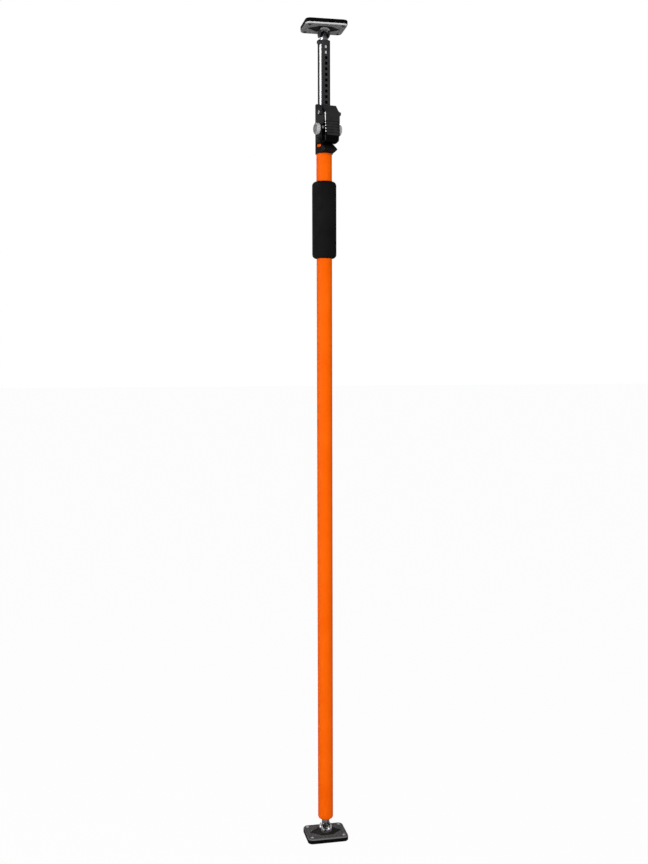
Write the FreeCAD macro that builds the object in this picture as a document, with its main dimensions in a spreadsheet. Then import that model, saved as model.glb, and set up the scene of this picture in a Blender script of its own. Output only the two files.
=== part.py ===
import FreeCAD, Part
import Sketcher
import os
import re

# Telescopic prop: a pole that is set between floor and ceiling. The inner tube climbs in the
# outer tube on a ratchet head with a pump lever, and a padded plate swivels at each end.
# Origin: middle of the foot pad's floor face. Z runs up the tubes, X along the plates' long side.
# Pieces of the ratchet head use a frame of their own, turned about Z: X outward to the lever,
# Y along the cross pins, Z up.

SIZES = {
    # whole prop
    "running_fit": 0.05,
    "clearance": 0.4,
    # end plates, the same at foot and head
    "plate_length": 86,
    "plate_width": 70,
    "plate_thick": 3,
    "plate_corner": 10,
    "plate_chamfer": 1,
    "pad_overhang": 0.5,
    "pad_thick": 8,
    "pad_round": 1.5,
    "recess_end": 7.4,
    "recess_side": 15,
    "recess_flat": 24,
    "recess_depth": 1,
    "rivet_inset": 8.7,
    "rivet_head_d": 7,
    "rivet_head_rise": 1.6,
    "rivet_shank_d": 4,
    "rivet_sink": 4,
    # swivel brackets and their pins
    "bracket_gap": 17,
    "bracket_wall": 3.5,
    "bracket_depth": 21,
    "bracket_bend": 9,
    "leg_round": 7,
    "leg_taper": 1.6,
    "pivot_drop": 11,
    "pivot_d": 6,
    "pivot_head_d": 9,
    "pivot_head_rise": 1,
    # stems that carry the swivels
    "stem_d": 16,
    "stem_nose": 1,
    "foot_stem_show": 17,
    "head_stem_show": 14,
    "foot_plug_setback": 11,
    "head_plug_setback": 2,
    "plug_length": 28,
    "stem_rivet_d": 6,
    "stem_rivet_head_d": 12,
    "stem_rivet_head_rise": 3.2,
    "stem_rivet_drop": 4.5,
    "stem_rivet_turn": 29,
    # outer tube
    "tube_od": 32,
    "tube_wall": 1.4,
    "tube_length": 1432,
    "cone_height": 6.5,
    "cone_lip": 1.1,
    # inner tube with its row of ratchet slots
    "inner_od": 25.4,
    "inner_wall": 1.5,
    "inner_show": 195,
    "stored_gap": 103,
    "slot_pitch": 11.1,
    "slot_width": 5.6,
    "slot_height": 6.2,
    "slot_margin_top": 12,
    "slot_margin_base": 90,
    "guide_height": 12,
    "guide_plug": 20,
    # bush in the outer tube's mouth
    "bush_depth": 40,
    "bush_flange": 3.5,
    # foam hand grip
    "grip_od": 50,
    "grip_drop": 56,
    "grip_length": 156.5,
    "grip_round": 8,
    # ratchet body
    "head_turn": 11,
    "body_socket": 31.5,
    "body_height": 98.5,
    "body_radius": 18,
    "cheek_wall": 1.7,
    "cheek_reach": 39.5,
    "cheek_waist": 27,
    "shoulder_rise": 20.5,
    "floor_thick": 3,
    "crown_thick": 10,
    "crown_reach": 15.3,
    "crown_fall": 5,
    "crown_flat": 5,
    "crown_bevel_run": 6.5,
    "crown_bevel_drop": 5,
    "window_near": 0.6,
    "window_far": 14,
    "window_base": 12.5,
    "window_height": 5.6,
    "beak_reach": 36.5,
    "beak_half_width": 13.5,
    "beak_rise": 17.5,
    "beak_lip": 5,
    "beak_lift": 3,
    "boss_proud": 1.3,
    # pump lever
    "lever_pivot_reach": 28.7,
    "lever_pivot_rise": 76.5,
    "lever_pin_d": 6,
    "lever_pin_head_d": 9.6,
    "lever_pin_head_rise": 4.6,
    "lever_reach": 46.5,
    "lever_crest_reach": 43.5,
    "lever_top_reach": 24.6,
    "lever_top_rise": 93.5,
    "lever_crest_rise": 74.5,
    "lever_lip_rise": 29.5,
    "lever_lip_step": 0.8,
    "lever_base_rise": 15.5,
    "lever_wall": 2.3,
    "lever_web": 3.2,
    "lever_back": 28.2,
    "lever_tail_reach": 12.4,
    "lever_tail_half": 5,
    "lever_toe_round": 13,
    "lever_edge_round": 3,
    "lever_toe_side": 6,
    "roof_back": 22.3,
    "rib_pitch": 5.6,
    "rib_groove": 2.2,
    "rib_depth": 1.2,
    "rib_count": 5,
    "rib_top_rise": 57.6,
    "stop_pin_d": 5.6,
    "stop_pin_reach": 36,
    "stop_pin_rise": 46.2,
    "stop_pin_proud": 2.3,
    # lift pawl on the lever
    "lift_pin_reach": 16.5,
    "lift_pin_d": 4,
    "lift_hub_d": 6.8,
    "lift_tooth_rise": 8.4,
    "lift_swing": 22,
    "lift_slots_up": 2,
    # holding pawl, its cross shaft and its two knobs
    "release_reach": 20.7,
    "release_rise": 45.5,
    "release_shaft_d": 8,
    "knob_d": 22.5,
    "near_knob_thick": 10.4,
    "far_knob_thick": 8.6,
    "knob_bevel": 1.4,
    "hold_hub_d": 13,
    "hold_tooth_rise": 12,
    "hold_swing": 10,
    "tooth_height": 2.6,
    "tooth_bite": 1.5,
    "pawl_width": 5,
    # clamp screw through both cheeks, in front of the outer tube
    "clamp_reach": 21.5,
    "clamp_rise": 27,
    "clamp_d": 5,
    "clamp_head_d": 9,
    "clamp_head_rise": 2.6,
    "clamp_socket": 4,
    "clamp_socket_depth": 2.2,
    "clamp_nut_across": 8,
    "clamp_nut_rise": 3,
    "clamp_boss_d": 13,
    # spring leaves
    "leaf_thick": 0.6,
    "leaf_width": 6,
}

# Places that follow from the driving dimensions. The rises in the head were drawn for a body 98.5 high,
# and stretch with it.
DERIVED = {
    "head_stretch": "body_height / 98.5",
    "plate_face": "pad_thick + plate_thick",
    "recess_half_length": "plate_length / 2 - recess_end",
    "recess_half_width": "plate_width / 2 - recess_side",
    "rivet_along": "plate_length / 2 - rivet_inset",
    "rivet_across": "plate_width / 2 - rivet_inset",
    "bracket_seat": "plate_face - recess_depth",
    "pivot_rise": "bracket_seat + pivot_drop",
    "tube_base": "pivot_rise + foot_stem_show",
    "head_rim": "pivot_rise + head_stem_show",
    "tube_top": "tube_base + tube_length",
    "tube_bore": "tube_od / 2 - tube_wall",
    "inner_radius": "inner_od / 2",
    "inner_bore": "inner_radius - inner_wall",
    "inner_top": "tube_top + inner_show",
    "overall_length": "inner_top + head_rim",
    "foot_plug_top": "tube_base + foot_plug_setback + plug_length",
    "inner_base": "foot_plug_top + stored_gap + guide_height",
    "body_base": "tube_top - body_socket",
    "grip_top": "body_base - grip_drop",
    "grip_base": "grip_top - grip_length",
    "body_top": "body_base + body_height",
    "shoulder": "body_base + shoulder_rise * head_stretch",
    "channel_half": "body_radius - cheek_wall",
    "channel_floor": "shoulder + floor_thick",
    "channel_roof": "body_top - crown_thick",
    "lever_pivot_z": "body_base + lever_pivot_rise * head_stretch",
    "lever_top": "body_base + lever_top_rise * head_stretch",
    "lever_crest": "body_base + lever_crest_rise * head_stretch",
    "lever_lip": "body_base + lever_lip_rise * head_stretch",
    "lever_base": "body_base + lever_base_rise * head_stretch",
    "lever_toe_reach": "lever_reach - lever_lip_step",
    "lever_half": "channel_half - clearance",
    "lever_inner_half": "lever_half - lever_wall",
    "inner_top_reach": "lever_top_reach - 0.35 * lever_web",
    "inner_top_z": "lever_top - 1.15 * lever_web",
    "inner_crest_reach": "lever_crest_reach - lever_web",
    "inner_crest_z": "lever_crest - 0.4 * lever_web",
    "rib_top": "body_base + rib_top_rise * head_stretch",
    "stop_pin_z": "body_base + stop_pin_rise * head_stretch",
    "release_z": "body_base + release_rise * head_stretch",
    "clamp_z": "body_base + clamp_rise * head_stretch",
    "hold_slot_z": "release_z + hold_tooth_rise",
    "lift_slot_z": "hold_slot_z + lift_slots_up * slot_pitch",
    "lift_pin_z": "lift_slot_z - lift_tooth_rise",
    "slots_above": "floor((inner_top - slot_margin_top - hold_slot_z) / slot_pitch)",
    "slots_below": "floor((hold_slot_z - inner_base - slot_margin_base) / slot_pitch)",
    "hold_tooth_tip": "inner_bore + inner_wall - tooth_bite - release_reach",
    "lift_tooth_tip": "inner_bore + inner_wall - tooth_bite - lift_pin_reach",
    "bracket_half": "bracket_gap / 2 + bracket_wall",
    "boss_face": "body_radius + boss_proud",
}

FAR = 200

doc = FreeCAD.newDocument("telescopic_prop")
sheet = doc.addObject("Spreadsheet::Sheet", "sizes")
for row, (alias, number) in enumerate(SIZES.items(), 1):
    sheet.set(f"A{row}", alias)
    sheet.set(f"B{row}", str(number))
    sheet.setAlias(f"B{row}", alias)
doc.recompute()


def formula(text):
    """Spell a short formula out so that every size in it points at its cell in the sheet."""
    def spell(match):
        word = match.group(0)
        if word in SIZES:
            return "sizes." + word
        if word in DERIVED:
            return "(" + formula(DERIVED[word]) + ")"
        return word
    return re.sub(r"[a-z_][a-z_0-9]*", spell, str(text))


def number(text):
    return float(sheet.evalExpression(formula(text).replace("sizes.", "")))


def bind(obj, prop, text):
    obj.setExpression(prop, formula(text))


# Bodies, sketches and features

def new_body(label, turned=False):
    body = doc.addObject("PartDesign::Body", label)
    body.Label = label
    if turned:
        body.Placement = FreeCAD.Placement(FreeCAD.Vector(), FreeCAD.Rotation(FreeCAD.Vector(0, 0, 1), -1))
        bind(body, ".Placement.Rotation.Angle", "head_turn - 90")
    return body


def new_sketch(body, role, height="0"):
    plane = [feature for feature in body.Origin.OriginFeatures if feature.Role == role][0]
    sketch = body.newObject("Sketcher::SketchObject", body.Name + "_sketch")
    sketch.AttachmentSupport = [(plane, "")]
    sketch.MapMode = "FlatFace"
    bind(sketch, "AttachmentOffset.Base.z", height)
    return sketch


def hold_point(sketch, geometry, place, point):
    for kind, text in zip(("DistanceX", "DistanceY"), point):
        index = sketch.addConstraint(Sketcher.Constraint(kind, -1, 1, geometry, place, number(text)))
        bind(sketch, f"Constraints[{index}]", text)


def outline(body, role, points, height="0"):
    """A closed outline of straight edges; each corner is a pair of formulas."""
    sketch = new_sketch(body, role, height)
    corners = [FreeCAD.Vector(number(across), number(up), 0) for across, up in points]
    count = len(corners)
    for index in range(count):
        sketch.addGeometry(Part.LineSegment(corners[index], corners[(index + 1) % count]), False)
    for index in range(count):
        sketch.addConstraint(Sketcher.Constraint("Coincident", index, 2, (index + 1) % count, 1))
        hold_point(sketch, index, 1, points[index])
    return sketch


def rounds(body, role, circles, height="0"):
    """Circles, each given as the formulas of its middle and its diameter."""
    sketch = new_sketch(body, role, height)
    for index, (across, up, diameter) in enumerate(circles):
        middle = FreeCAD.Vector(number(across), number(up), 0)
        sketch.addGeometry(Part.Circle(middle, FreeCAD.Vector(0, 0, 1), number(diameter) / 2), False)
        hold_point(sketch, index, 3, (across, up))
        size = sketch.addConstraint(Sketcher.Constraint("Diameter", index, number(diameter)))
        bind(sketch, f"Constraints[{size}]", diameter)
    return sketch


def pad(body, sketch, length, side="Symmetric"):
    feature = body.newObject("PartDesign::Pad", body.Name + "_pad")
    feature.Profile = sketch
    feature.SideType = side
    bind(feature, "Length", length)
    doc.recompute()
    return feature


def pocket(body, sketch, length, side="Symmetric"):
    """Cut a sketch out of the body, turning the cut round if it points away from the solid."""
    before = body.Shape.Volume
    feature = body.newObject("PartDesign::Pocket", body.Name + "_pocket")
    feature.Profile = sketch
    feature.SideType = side
    bind(feature, "Length", length)
    doc.recompute()
    if side == "One side" and before - body.Shape.Volume < 1e-6 * before:
        feature.Reversed = True
        doc.recompute()
    if before - body.Shape.Volume < 1e-9 * before:
        raise ValueError("nothing was cut from " + body.Label)
    return feature


def revolve(body, points):
    sketch = outline(body, "XZ_Plane", points)
    feature = body.newObject("PartDesign::Revolution", body.Name + "_turning")
    feature.Profile = sketch
    feature.ReferenceAxis = (sketch, ["V_Axis"])
    feature.Angle = 360
    doc.recompute()
    return feature


def repeat_up(body, feature, axis_sketch, length, count, downward=False):
    pattern = body.newObject("PartDesign::LinearPattern", body.Name + "_row")
    pattern.Originals = [feature]
    pattern.Direction = (axis_sketch, ["V_Axis"])
    pattern.Reversed = downward
    bind(pattern, "Length", length)
    bind(pattern, "Occurrences", count)
    body.Tip = pattern
    doc.recompute()
    return pattern


def round_edges(body, feature, radius, wanted):
    """Fillet the edges of a feature whose two ends pass the test."""
    names = []
    for index, edge in enumerate(feature.Shape.Edges, 1):
        ends = [vertex.Point for vertex in edge.Vertexes]
        if len(ends) == 2 and wanted(*ends):
            names.append(f"Edge{index}")
    fillet = body.newObject("PartDesign::Fillet", body.Name + "_round")
    fillet.Base = (feature, names)
    bind(fillet, "Radius", radius)
    doc.recompute()
    return fillet


def near(first, second):
    return abs(first - second) < 1e-4


# Pieces set on the turned head or across it

def head_placement(reach="0", rise="0", swing="0"):
    """Where a piece of the head goes: out from the tube, up the tube, and swung about a cross pin."""
    turn = FreeCAD.Rotation(FreeCAD.Vector(0, 0, 1), number("head_turn - 90"))
    place = turn.multVec(FreeCAD.Vector(number(reach), 0, 0)) + FreeCAD.Vector(0, 0, number(rise))
    swung = turn.multiply(FreeCAD.Rotation(FreeCAD.Vector(0, 1, 0), number(swing)))
    return FreeCAD.Placement(place, swung)


def across_placement(reach, rise, start):
    """The same for a turned piece that lies along the cross pins, from a sideways start."""
    lying = FreeCAD.Rotation(FreeCAD.Vector(1, 0, 0), -90)
    along = FreeCAD.Placement(FreeCAD.Vector(0, number(start), 0), lying)
    return head_placement(reach, rise).multiply(along)


def mirrored_across(reach, rise, start):
    lying = FreeCAD.Rotation(FreeCAD.Vector(1, 0, 0), 90)
    along = FreeCAD.Placement(FreeCAD.Vector(0, number(start), 0), lying)
    return head_placement(reach, rise).multiply(along)


# End plates: pad, plate, rivets, bracket and pivot pin, the same at both ends

def end_placement(end):
    if end == "foot":
        return FreeCAD.Placement()
    flip = FreeCAD.Rotation(FreeCAD.Vector(1, 0, 0), 180)
    return FreeCAD.Placement(FreeCAD.Vector(0, 0, number("overall_length")), flip)


RIVET_PLACES = [(along, across) for along in ("-rivet_along", "rivet_along")
                for across in ("-rivet_across", "rivet_across")]


def plate_outline(body, height, overhang="0"):
    half_long, half_wide = f"(plate_length / 2 + {overhang})", f"(plate_width / 2 + {overhang})"
    corners = [("-" + half_long, "-" + half_wide), (half_long, "-" + half_wide),
               (half_long, half_wide), ("-" + half_long, half_wide)]
    return outline(body, "XY_Plane", corners, height)


def is_upright(first, second):
    return near(first.x, second.x) and near(first.y, second.y)


def end_pad(end):
    body = new_body(end + "_pad")
    block = pad(body, plate_outline(body, "0", "pad_overhang"), "pad_thick", "One side")
    round_edges(body, block, "plate_corner + pad_overhang", is_upright)
    holes = [place + ("rivet_shank_d + 2 * running_fit",) for place in RIVET_PLACES]
    sockets = rounds(body, "XY_Plane", holes, "pad_thick")
    cut = pocket(body, sockets, "rivet_sink + clearance", "One side")
    rim = [f"Edge{index}" for index, edge in enumerate(cut.Shape.Edges, 1)
           if all(near(vertex.Z, 0) for vertex in edge.Vertexes)]
    soft = body.newObject("PartDesign::Chamfer", end + "_pad_rim")
    soft.Base = (cut, rim)
    bind(soft, "Size", "pad_round")
    body.Placement = end_placement(end)
    return body


def end_plate(end):
    body = new_body(end + "_plate")
    block = pad(body, plate_outline(body, "pad_thick"), "plate_thick", "One side")
    rounded = round_edges(body, block, "plate_corner", is_upright)
    face = number("plate_face")
    rim = [f"Edge{index}" for index, edge in enumerate(rounded.Shape.Edges, 1)
           if all(near(vertex.Z, face) for vertex in edge.Vertexes)]
    bevel = body.newObject("PartDesign::Chamfer", end + "_plate_rim")
    bevel.Base = (rounded, rim)
    bind(bevel, "Size", "plate_chamfer")
    doc.recompute()
    flat, wide = "recess_flat / 2", "recess_half_width"
    diamond = [("recess_half_length", "0"), (flat, wide), ("-" + flat, wide),
               ("-recess_half_length", "0"), ("-" + flat, "-" + wide), (flat, "-" + wide)]
    pocket(body, outline(body, "XY_Plane", diamond, "plate_face"), "recess_depth", "One side")
    holes = [place + ("rivet_shank_d + 2 * running_fit",) for place in RIVET_PLACES]
    pocket(body, rounds(body, "XY_Plane", holes, "plate_face"), "2 * plate_thick", "One side")
    body.Placement = end_placement(end)
    return body


def end_rivets(end):
    """Four corner rivets that hold the pad under the plate, one node of four solids."""
    rivets = []
    for index, (along, across) in enumerate(RIVET_PLACES, 1):
        rivet = new_body(f"{end}_rivet_{index}")
        revolve(rivet, [("0", "plate_face - plate_thick - rivet_sink"),
                        ("rivet_shank_d / 2", "plate_face - plate_thick - rivet_sink"),
                        ("rivet_shank_d / 2", "plate_face"),
                        ("rivet_head_d / 2", "plate_face"),
                        ("rivet_head_d / 4", "plate_face + rivet_head_rise"),
                        ("0", "plate_face + rivet_head_rise")])
        place = FreeCAD.Placement(FreeCAD.Vector(number(along), number(across), 0), FreeCAD.Rotation())
        rivet.Placement = end_placement(end).multiply(place)
        rivets.append(rivet)
    group = doc.addObject("Part::Compound", end + "_rivets")
    group.Label = end + "_rivets"
    group.Links = rivets
    return group


def end_bracket(end):
    """A strap bent to a U, with round-ended legs either side of the stem."""
    body = new_body(end + "_bracket")
    top, outer, inner = "pivot_rise + leg_round", "bracket_half", "bracket_gap / 2"
    tip, floor = "(bracket_half - leg_taper)", "bracket_seat + bracket_wall"
    strap = outline(body, "XZ_Plane", [
        ("-" + outer, "bracket_seat"), (outer, "bracket_seat"), (tip, top), (inner, top),
        (inner, floor), ("-" + inner, floor), ("-" + inner, top), ("-" + tip, top)])
    bent = pad(body, strap, "bracket_depth")

    def runs_along(rise, side):
        def wanted(one, two):
            level = near(one.z, number(rise)) and near(two.z, number(rise))
            return level and near(abs(one.x), number(side)) and near(one.x, two.x)
        return wanted

    bend = round_edges(body, bent, "bracket_bend", runs_along("bracket_seat", outer))
    bend = round_edges(body, bend, "bracket_bend - bracket_wall", runs_along(floor, inner))
    high = number(top)
    round_edges(body, bend, "leg_round - 0.01",
                lambda one, two: near(one.z, high) and near(two.z, high) and near(one.y, two.y))
    eyes = rounds(body, "YZ_Plane", [("0", "pivot_rise", "pivot_d + 2 * running_fit")])
    pocket(body, eyes, "4 * bracket_half")
    body.Placement = end_placement(end)
    return body


def end_pivot_pin(end):
    body = new_body(end + "_pivot_pin")
    half = "(bracket_half - leg_taper / 3)"
    revolve(body, [("0", f"-{half} - pivot_head_rise"), ("pivot_head_d / 3", f"-{half} - pivot_head_rise"),
                   ("pivot_head_d / 2", "-" + half), ("pivot_d / 2", "-" + half), ("pivot_d / 2", half),
                   ("pivot_head_d / 2", half), ("pivot_head_d / 3", f"{half} + pivot_head_rise"),
                   ("0", f"{half} + pivot_head_rise")])
    lying = FreeCAD.Rotation(FreeCAD.Vector(0, 1, 0), 90)
    place = FreeCAD.Placement(FreeCAD.Vector(0, 0, number("pivot_rise")), lying)
    body.Placement = end_placement(end).multiply(place)
    return body


def end_stem(end, start, plug_radius):
    """Round-nosed stem between the bracket legs, with a plug that fits the tube behind it."""
    body = new_body(end + "_stem")
    tip, middle = "(bracket_seat + bracket_wall + stem_nose)", "stem_d / 2"
    revolve(body, [("0", tip), ("stem_d / 8", tip), ("0.36 * stem_d", f"0.55 * {tip} + 0.45 * pivot_rise"),
                   (middle, "pivot_rise + stem_nose"), (middle, start), (plug_radius, start),
                   (plug_radius, start + " + plug_length"), ("0", start + " + plug_length")])
    eye = rounds(body, "YZ_Plane", [("0", "pivot_rise", "pivot_d + 2 * running_fit")])
    pocket(body, eye, "2 * stem_d")
    body.Placement = end_placement(end)
    if end == "head":
        return drilled(body)
    return body


def rivet_placement(start):
    """Where the head stem's cross rivet lies, from a start along its own length."""
    turn = FreeCAD.Rotation(FreeCAD.Vector(0, 0, 1), number("stem_rivet_turn"))
    lying = turn.multiply(FreeCAD.Rotation(FreeCAD.Vector(0, 1, 0), -90))
    rise = FreeCAD.Vector(0, 0, number("inner_top - stem_rivet_drop"))
    return FreeCAD.Placement(rise + lying.multVec(FreeCAD.Vector(0, 0, number(start))), lying)


def drilled(body):
    """The body with the cross rivet's hole through it."""
    label = body.Label
    body.Label = label + "_undrilled"
    drill = doc.addObject("Part::Cylinder", label + "_drill")
    bind(drill, "Radius", "stem_rivet_d / 2 + running_fit")
    bind(drill, "Height", "2 * inner_od")
    drill.Placement = rivet_placement("-inner_od")
    result = doc.addObject("Part::Cut", label + "_drilled")
    result.Label = label
    result.Base = body
    result.Tool = drill
    return result


def head_stem_rivet():
    """Cross rivet that keeps the head stem in the inner tube, with its head on the near side."""
    body = new_body("head_stem_rivet")
    flush, top = "-inner_radius + 0.3", "inner_radius + stem_rivet_head_rise"
    revolve(body, [("0", flush), ("stem_rivet_d / 2", flush), ("stem_rivet_d / 2", "inner_radius"),
                   ("stem_rivet_head_d / 2", "inner_radius"), ("stem_rivet_head_d / 3", top), ("0", top)])
    body.Placement = rivet_placement("0")
    return body


# Tubes, bush, guide and grip

def outer_tube():
    body = new_body("outer_tube")
    outside, mouth = "tube_od / 2", "stem_d / 2 + running_fit"
    shoulder = "tube_base + cone_height"
    revolve(body, [(mouth, "tube_base"), (mouth + " + cone_lip", "tube_base"),
                   (outside + " - tube_wall", "tube_base + 0.6 * cone_height"), (outside, shoulder),
                   (outside, "tube_top"), ("tube_bore", "tube_top"),
                   ("tube_bore", shoulder + " + tube_wall / 2")])
    return body


def tube_bush():
    body = new_body("tube_bush")
    inside = "inner_radius + running_fit + 0.03"
    revolve(body, [(inside, "tube_top - bush_depth"), ("tube_bore - running_fit", "tube_top - bush_depth"),
                   ("tube_bore - running_fit", "tube_top"), ("tube_od / 2 - 0.1", "tube_top"),
                   ("tube_od / 2 - 0.1", "tube_top + bush_flange"), (inside, "tube_top + bush_flange")])
    return body


def foam_grip():
    body = new_body("foam_grip")
    inside, outside = "tube_od / 2 + running_fit", "grip_od / 2"
    shoulder, end = outside + " - 0.3 * grip_round", outside + " - grip_round"
    revolve(body, [(inside, "grip_base"), (end, "grip_base"), (shoulder, "grip_base + 0.3 * grip_round"),
                   (outside, "grip_base + grip_round"), (outside, "grip_top - grip_round"),
                   (shoulder, "grip_top - 0.3 * grip_round"), (end, "grip_top"), (inside, "grip_top")])
    return body


def inner_tube():
    """The climbing tube: one row of slots faces the lever, spaced for the two pawls."""
    body = new_body("inner_tube", turned=True)
    revolve(body, [("inner_bore", "inner_base"), ("inner_radius", "inner_base"),
                   ("inner_radius", "inner_top"), ("inner_bore", "inner_top")])
    top = "(hold_slot_z + slots_above * slot_pitch)"
    low, high = top + " - slot_height / 2", top + " + slot_height / 2"
    window = outline(body, "YZ_Plane", [("-slot_width / 2", low), ("slot_width / 2", low),
                                        ("slot_width / 2", high), ("-slot_width / 2", high)])
    slot = pocket(body, window, "inner_od", "One side")
    wall = FreeCAD.Vector(number("inner_bore + inner_wall / 2"), 0, number(top))
    if body.Shape.isInside(body.Placement.multVec(wall), 0.01, False):
        slot.Reversed = not slot.Reversed
        doc.recompute()
    repeat_up(body, slot, window, "(slots_above + slots_below) * slot_pitch",
              "slots_above + slots_below + 1", downward=True)
    return drilled(body)


def inner_guide():
    """Plastic plug at the inner tube's lower end, which runs in the outer tube."""
    body = new_body("inner_guide")
    fit = "inner_bore - running_fit"
    run, low = "tube_bore - 2 * running_fit", "inner_base - guide_height"
    revolve(body, [("0", low), (run, low), (run, "inner_base"), (fit, "inner_base"),
                   (fit, "inner_base + guide_plug"), ("0", "inner_base + guide_plug")])
    return body


# Ratchet body: a collar on the outer tube that opens into two cheeks

def ratchet_body():
    body = new_body("ratchet_body", turned=True)
    post = rounds(body, "XY_Plane", [("0", "0", "2 * body_radius")], "body_base")
    pad(body, post, "body_height", "One side")
    cheeks = outline(body, "XZ_Plane", [
        ("0", "shoulder"), ("cheek_waist - 4", "shoulder"), ("cheek_waist", "shoulder + 4"),
        ("cheek_waist", "lever_pivot_z - 27"), ("cheek_reach", "lever_pivot_z - 21"),
        ("cheek_reach", "lever_pivot_z - 3"), ("cheek_reach - 13.5", "channel_roof - 1.5"),
        ("crown_reach", "channel_roof"), ("0", "channel_roof")])
    pad(body, cheeks, "2 * body_radius")
    bosses = rounds(body, "XZ_Plane", [("clamp_reach", "clamp_z", "clamp_boss_d"),
                                       ("lever_pivot_reach", "lever_pivot_z", "lever_pin_head_d + 1.6")])
    pad(body, bosses, "2 * boss_face")
    beak = outline(body, "XZ_Plane", [
        ("body_radius - 6", "body_base"), ("body_radius", "body_base"),
        ("beak_reach", "body_base + beak_lift"), ("beak_reach", "body_base + beak_lip"),
        ("body_radius - 1", "body_base + beak_rise"),
        ("body_radius - 6", "body_base + beak_rise")])
    pad(body, beak, "2 * beak_half_width")
    back, front = "body_radius / 6", f"cheek_reach + {FAR}"
    channel = outline(body, "XZ_Plane", [(back, "channel_floor"), (front, "channel_floor"),
                                         (front, "channel_roof"), (back, "channel_roof")])
    pocket(body, channel, "2 * channel_half")
    socket = rounds(body, "XY_Plane", [("0", "0", "tube_od + 2 * running_fit")], "body_base")
    pocket(body, socket, "body_socket + bush_flange + 0.5", "One side")
    passage = rounds(body, "XY_Plane", [("0", "0", "inner_od + 1.5 * clearance")], "body_base")
    pocket(body, passage, "body_height", "One side")
    window = [("window_near", "body_base + window_base"), ("window_far", "body_base + window_base"),
              ("window_far", "body_base + window_base + window_height"),
              ("window_near", "body_base + window_base + window_height")]
    pocket(body, outline(body, "XZ_Plane", window), "4 * body_radius")
    cross_holes = [("lever_pivot_reach", "lever_pivot_z", "lever_pin_d + running_fit"),
                   ("release_reach", "release_z", "release_shaft_d + 2 * running_fit"),
                   ("clamp_reach", "clamp_z", "clamp_d + running_fit")]
    pocket(body, rounds(body, "XZ_Plane", cross_holes), "4 * body_radius")
    fall = [("crown_flat", "body_top"), ("crown_reach", "body_top - crown_fall"),
            ("crown_reach", "channel_roof"), (front, "channel_roof"), (front, "body_top")]
    pocket(body, outline(body, "XZ_Plane", fall), "4 * body_radius")
    rear, drop = "-body_radius", "body_top - crown_bevel_drop"
    bevel = [(rear + " - 1", drop), (rear, drop), (rear + " + crown_bevel_run", "body_top"),
             (rear + " - 1", "body_top")]
    pocket(body, outline(body, "XZ_Plane", bevel), "4 * body_radius")
    return body


def clamp_screw():
    body = new_body("clamp_screw")
    face, under = "boss_face", "-boss_face"
    head, end = f"{under} - clamp_head_rise", f"{face} + clamp_nut_rise + 0.6"
    revolve(body, [("0", head), ("clamp_head_d / 2 - 0.5", head), ("clamp_head_d / 2", head + " + 0.5"),
                   ("clamp_head_d / 2", under), ("clamp_d / 2", under),
                   ("clamp_d / 2", end), ("0", end)])
    pocket(body, hexagon(body, "clamp_socket", head), "clamp_socket_depth", "One side")
    body.Placement = across_placement("clamp_reach", "clamp_z", "0")
    return body


def hexagon(body, across_flats, height):
    flat, point = f"{across_flats} / 2", f"{across_flats} / sqrt(3)"
    corners = [(point, "0"), (f"{point} / 2", flat), (f"-{point} / 2", flat),
               ("-" + point, "0"), (f"-{point} / 2", "-" + flat), (f"{point} / 2", "-" + flat)]
    return outline(body, "XY_Plane", corners, height)


def clamp_nut():
    body = new_body("clamp_nut")
    pad(body, hexagon(body, "clamp_nut_across", "boss_face"), "clamp_nut_rise", "One side")
    bore = rounds(body, "XY_Plane", [("0", "0", "clamp_d + running_fit")], "boss_face")
    feature = pocket(body, bore, "clamp_nut_rise", "One side")
    body.Placement = across_placement("clamp_reach", "clamp_z", "0")
    return body


# Pump lever and what it carries

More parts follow.
